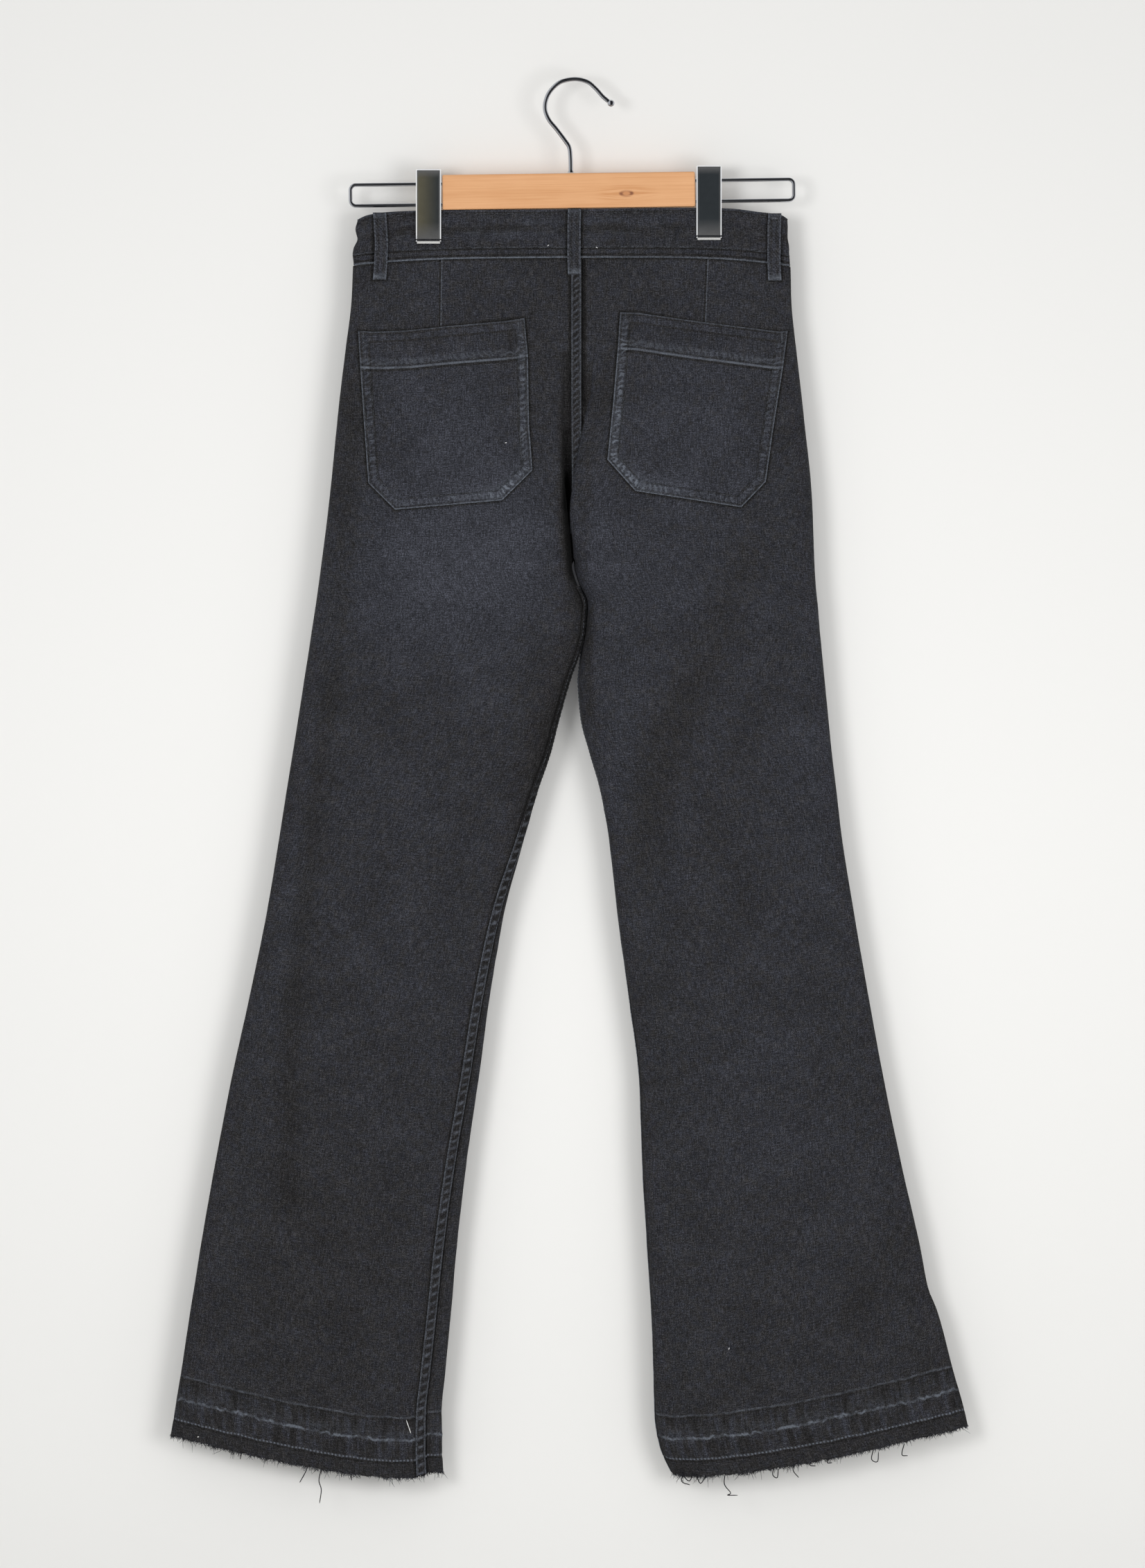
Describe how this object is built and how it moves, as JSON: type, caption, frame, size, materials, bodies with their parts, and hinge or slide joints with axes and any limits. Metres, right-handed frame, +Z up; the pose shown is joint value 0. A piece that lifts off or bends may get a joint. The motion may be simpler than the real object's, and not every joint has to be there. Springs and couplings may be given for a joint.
{
  "type": "bootcut jeans on a clip hanger",
  "caption": "Faded black bootcut jeans with let-down raw hems, hung by the waistband from a wooden bar hanger with sliding steel clips, back to the viewer.",
  "frame": {"origin": "the inner crown of the hanger's hook, where it rests on a rail", "axes": "+Z up, -Y towards the jeans' back, +X towards the wearer's right side"},
  "size_m": [0.6851, 0.0439, 1.2035],
  "materials": {
    "denim": "faded black denim, matte, with worn lighter edges",
    "seam_denim": "the same denim, worn along its double stitching",
    "wood": "varnished pine",
    "chrome": "polished",
    "brass": "aged"
  },
  "bodies": {
    "root": {"panel_back_left": "denim", "panel_back_right": "denim", "panel_front_left": "denim", "panel_front_right": "denim", "waistband": "denim", "pocket_left": "denim", "pocket_right": "denim", "fly": "denim", "belt_loop_back_left": "denim", "belt_loop_back_centre": "denim", "belt_loop_back_right": "denim", "belt_loop_front_left": "denim", "belt_loop_front_right": "denim", "front_pocket_edge_left": "denim", "front_pocket_edge_right": "denim", "seat_seam": "seam_denim", "inseam_left": "seam_denim", "inseam_right": "seam_denim", "bar": "wood", "hook": "chrome", "wire_left": "chrome", "wire_right": "chrome", "clip_left_outer": "chrome", "clip_left_inner": "chrome", "clip_right_outer": "chrome", "clip_right_inner": "chrome", "waist_button": "brass"}
  },
  "joints": []
}
